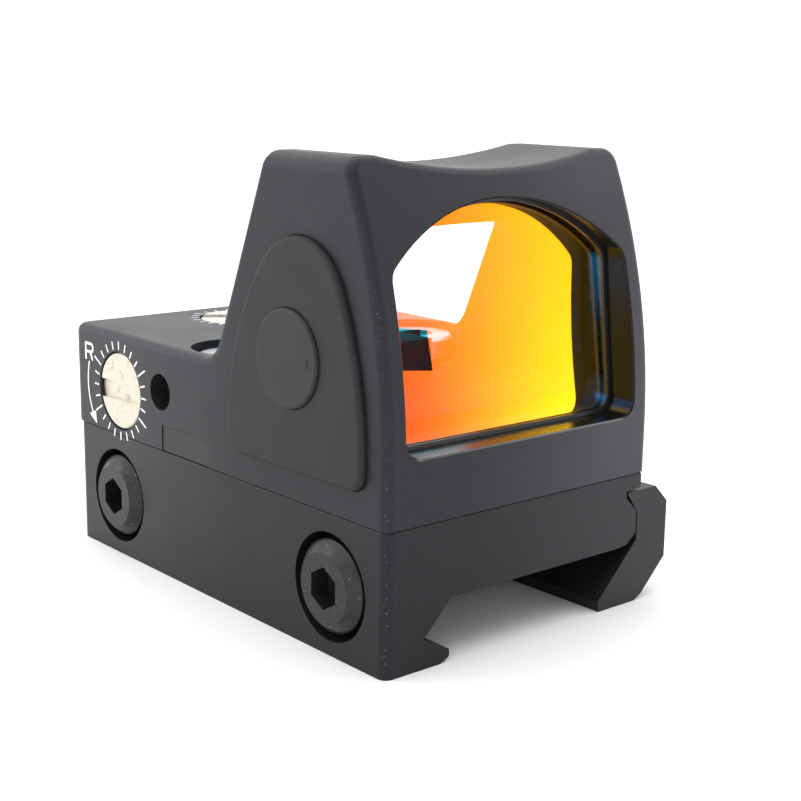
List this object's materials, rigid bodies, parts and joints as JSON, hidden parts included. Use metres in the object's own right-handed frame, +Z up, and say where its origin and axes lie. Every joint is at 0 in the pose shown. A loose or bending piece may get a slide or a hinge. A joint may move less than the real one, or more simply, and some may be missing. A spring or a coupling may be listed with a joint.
{
  "type": "red dot finder",
  "caption": "Compact open reflex sight: tilted amber lens in a hood, low rear deck with slotted adjusters, press buttons on both sides, on a side-clamping rail mount.",
  "frame": {"origin": "on the flat rail seat of the mount, straight under the optical axis and 22.5 mm behind the front face of the sight", "axes": "+X to the clamp side, +Y back towards the user's eye (the front of the lens faces -Y), +Z up"},
  "size_m": [0.0326, 0.0463, 0.0382],
  "materials": {
    "body_anodised": "matte black anodised",
    "mount_anodised": "matte black anodised",
    "optical_glass": "polished",
    "mirror_glass": "amber reflex coating",
    "window_glass": "coated",
    "lens_bond": "satin adhesive",
    "label": "laser darkened",
    "dial_nickel": "turned nickel",
    "seal_rubber": "satin",
    "inner_steel": "ground",
    "inner_brass": "machined",
    "inner_aluminium": "machined",
    "led": "clear moulded",
    "black_steel": "black oxide",
    "pad_rubber": "fine matte",
    "button_rubber": "fine matte",
    "cell_steel": "bright",
    "board": "solder mask",
    "component_plastic": "moulded",
    "contact_brass": "plated",
    "cover_aluminium": "anodised",
    "screw_steel": "satin"
  },
  "bodies": {
    "frame": {"adjuster_seals": "seal_rubber", "battery_contacts": "contact_brass", "battery_cover": "cover_aluminium", "blank_label": "label", "board_components": "component_plastic", "circuit_board": "board", "click_plungers": "inner_steel", "coin_battery": "cell_steel", "cover_seal": "seal_rubber", "emitter_window": "window_glass", "fixing_screws": "screw_steel", "front_lens": "optical_glass", "housing": "body_anodised", "left_button_pad": "pad_rubber", "left_dome_switch": "inner_steel", "lens_bond": "lens_bond", "locating_pins": "inner_steel", "lock_screw": "black_steel", "mirror_lens": "mirror_glass", "mount_base": "mount_anodised", "right_button_pad": "pad_rubber", "right_dome_switch": "inner_steel"},
    "windage_dial": {"windage_screw": "dial_nickel"},
    "elevation_dial": {"elevation_screw": "dial_nickel"},
    "windage_slider": {"windage_nut": "inner_brass"},
    "elevation_slider": {"elevation_nut": "inner_brass"},
    "light_slider": {"light_carriage": "inner_aluminium", "led": "led"},
    "left_button": {"left_button": "button_rubber"},
    "right_button": {"right_button": "button_rubber"},
    "front_bolt": {"front_cross_bolt": "black_steel"},
    "rear_bolt": {"rear_cross_bolt": "black_steel"},
    "clamp": {"clamp_bar": "mount_anodised"}
  },
  "joints": [
    {"name": "windage_nut_slide", "type": "slide", "parent": "frame", "child": "windage_slider", "axis": [1, 0, 0], "range_m": [-0.00063, 0.00063]},
    {"name": "windage_turn", "type": "hinge", "parent": "frame", "child": "windage_dial", "pos_m": [-0.0143, 0.0152, 0.01035], "axis": [-1, 0, 0], "range_deg": [-1126, 1126]},
    {"name": "elevation_nut_slide", "type": "slide", "parent": "frame", "child": "elevation_slider", "axis": [0, 0, 1], "range_m": [-0.00063, 0.00063]},
    {"name": "elevation_turn", "type": "hinge", "parent": "frame", "child": "elevation_dial", "pos_m": [0, 0.0165, 0.0157], "axis": [0, 0, 1], "range_deg": [-1126, 1126]},
    {"name": "light_slide", "type": "slide", "parent": "elevation_slider", "child": "light_slider", "axis": [1, 0, 0], "range_m": [-0.00063, 0.00063]},
    {"name": "left_button_press", "type": "slide", "parent": "frame", "child": "left_button", "axis": [1, 0, 0], "range_m": [0, 0.0004], "stiffness_N_per_m": 4000},
    {"name": "right_button_press", "type": "slide", "parent": "frame", "child": "right_button", "axis": [-1, 0, 0], "range_m": [0, 0.0004], "stiffness_N_per_m": 4000},
    {"name": "clamp_slide", "type": "slide", "parent": "frame", "child": "clamp", "axis": [1, 0, 0], "range_m": [0, 0.00228]},
    {"name": "front_bolt_turn", "type": "hinge", "parent": "frame", "child": "front_bolt", "pos_m": [-0.01435, -0.01585, 0.0004], "axis": [-1, 0, 0], "range_deg": [0, 1171]},
    {"name": "rear_bolt_turn", "type": "hinge", "parent": "frame", "child": "rear_bolt", "pos_m": [-0.01435, 0.01585, 0.0004], "axis": [-1, 0, 0], "range_deg": [0, 1171]}
  ],
  "couplings": [
    {"joint": "windage_turn", "follows": "windage_nut_slide", "rad_per_m": 31416},
    {"joint": "light_slide", "follows": "windage_nut_slide", "ratio": 1},
    {"joint": "elevation_turn", "follows": "elevation_nut_slide", "rad_per_m": 31416},
    {"joint": "front_bolt_turn", "follows": "clamp_slide", "rad_per_m": 8976},
    {"joint": "rear_bolt_turn", "follows": "clamp_slide", "rad_per_m": 8976}
  ]
}
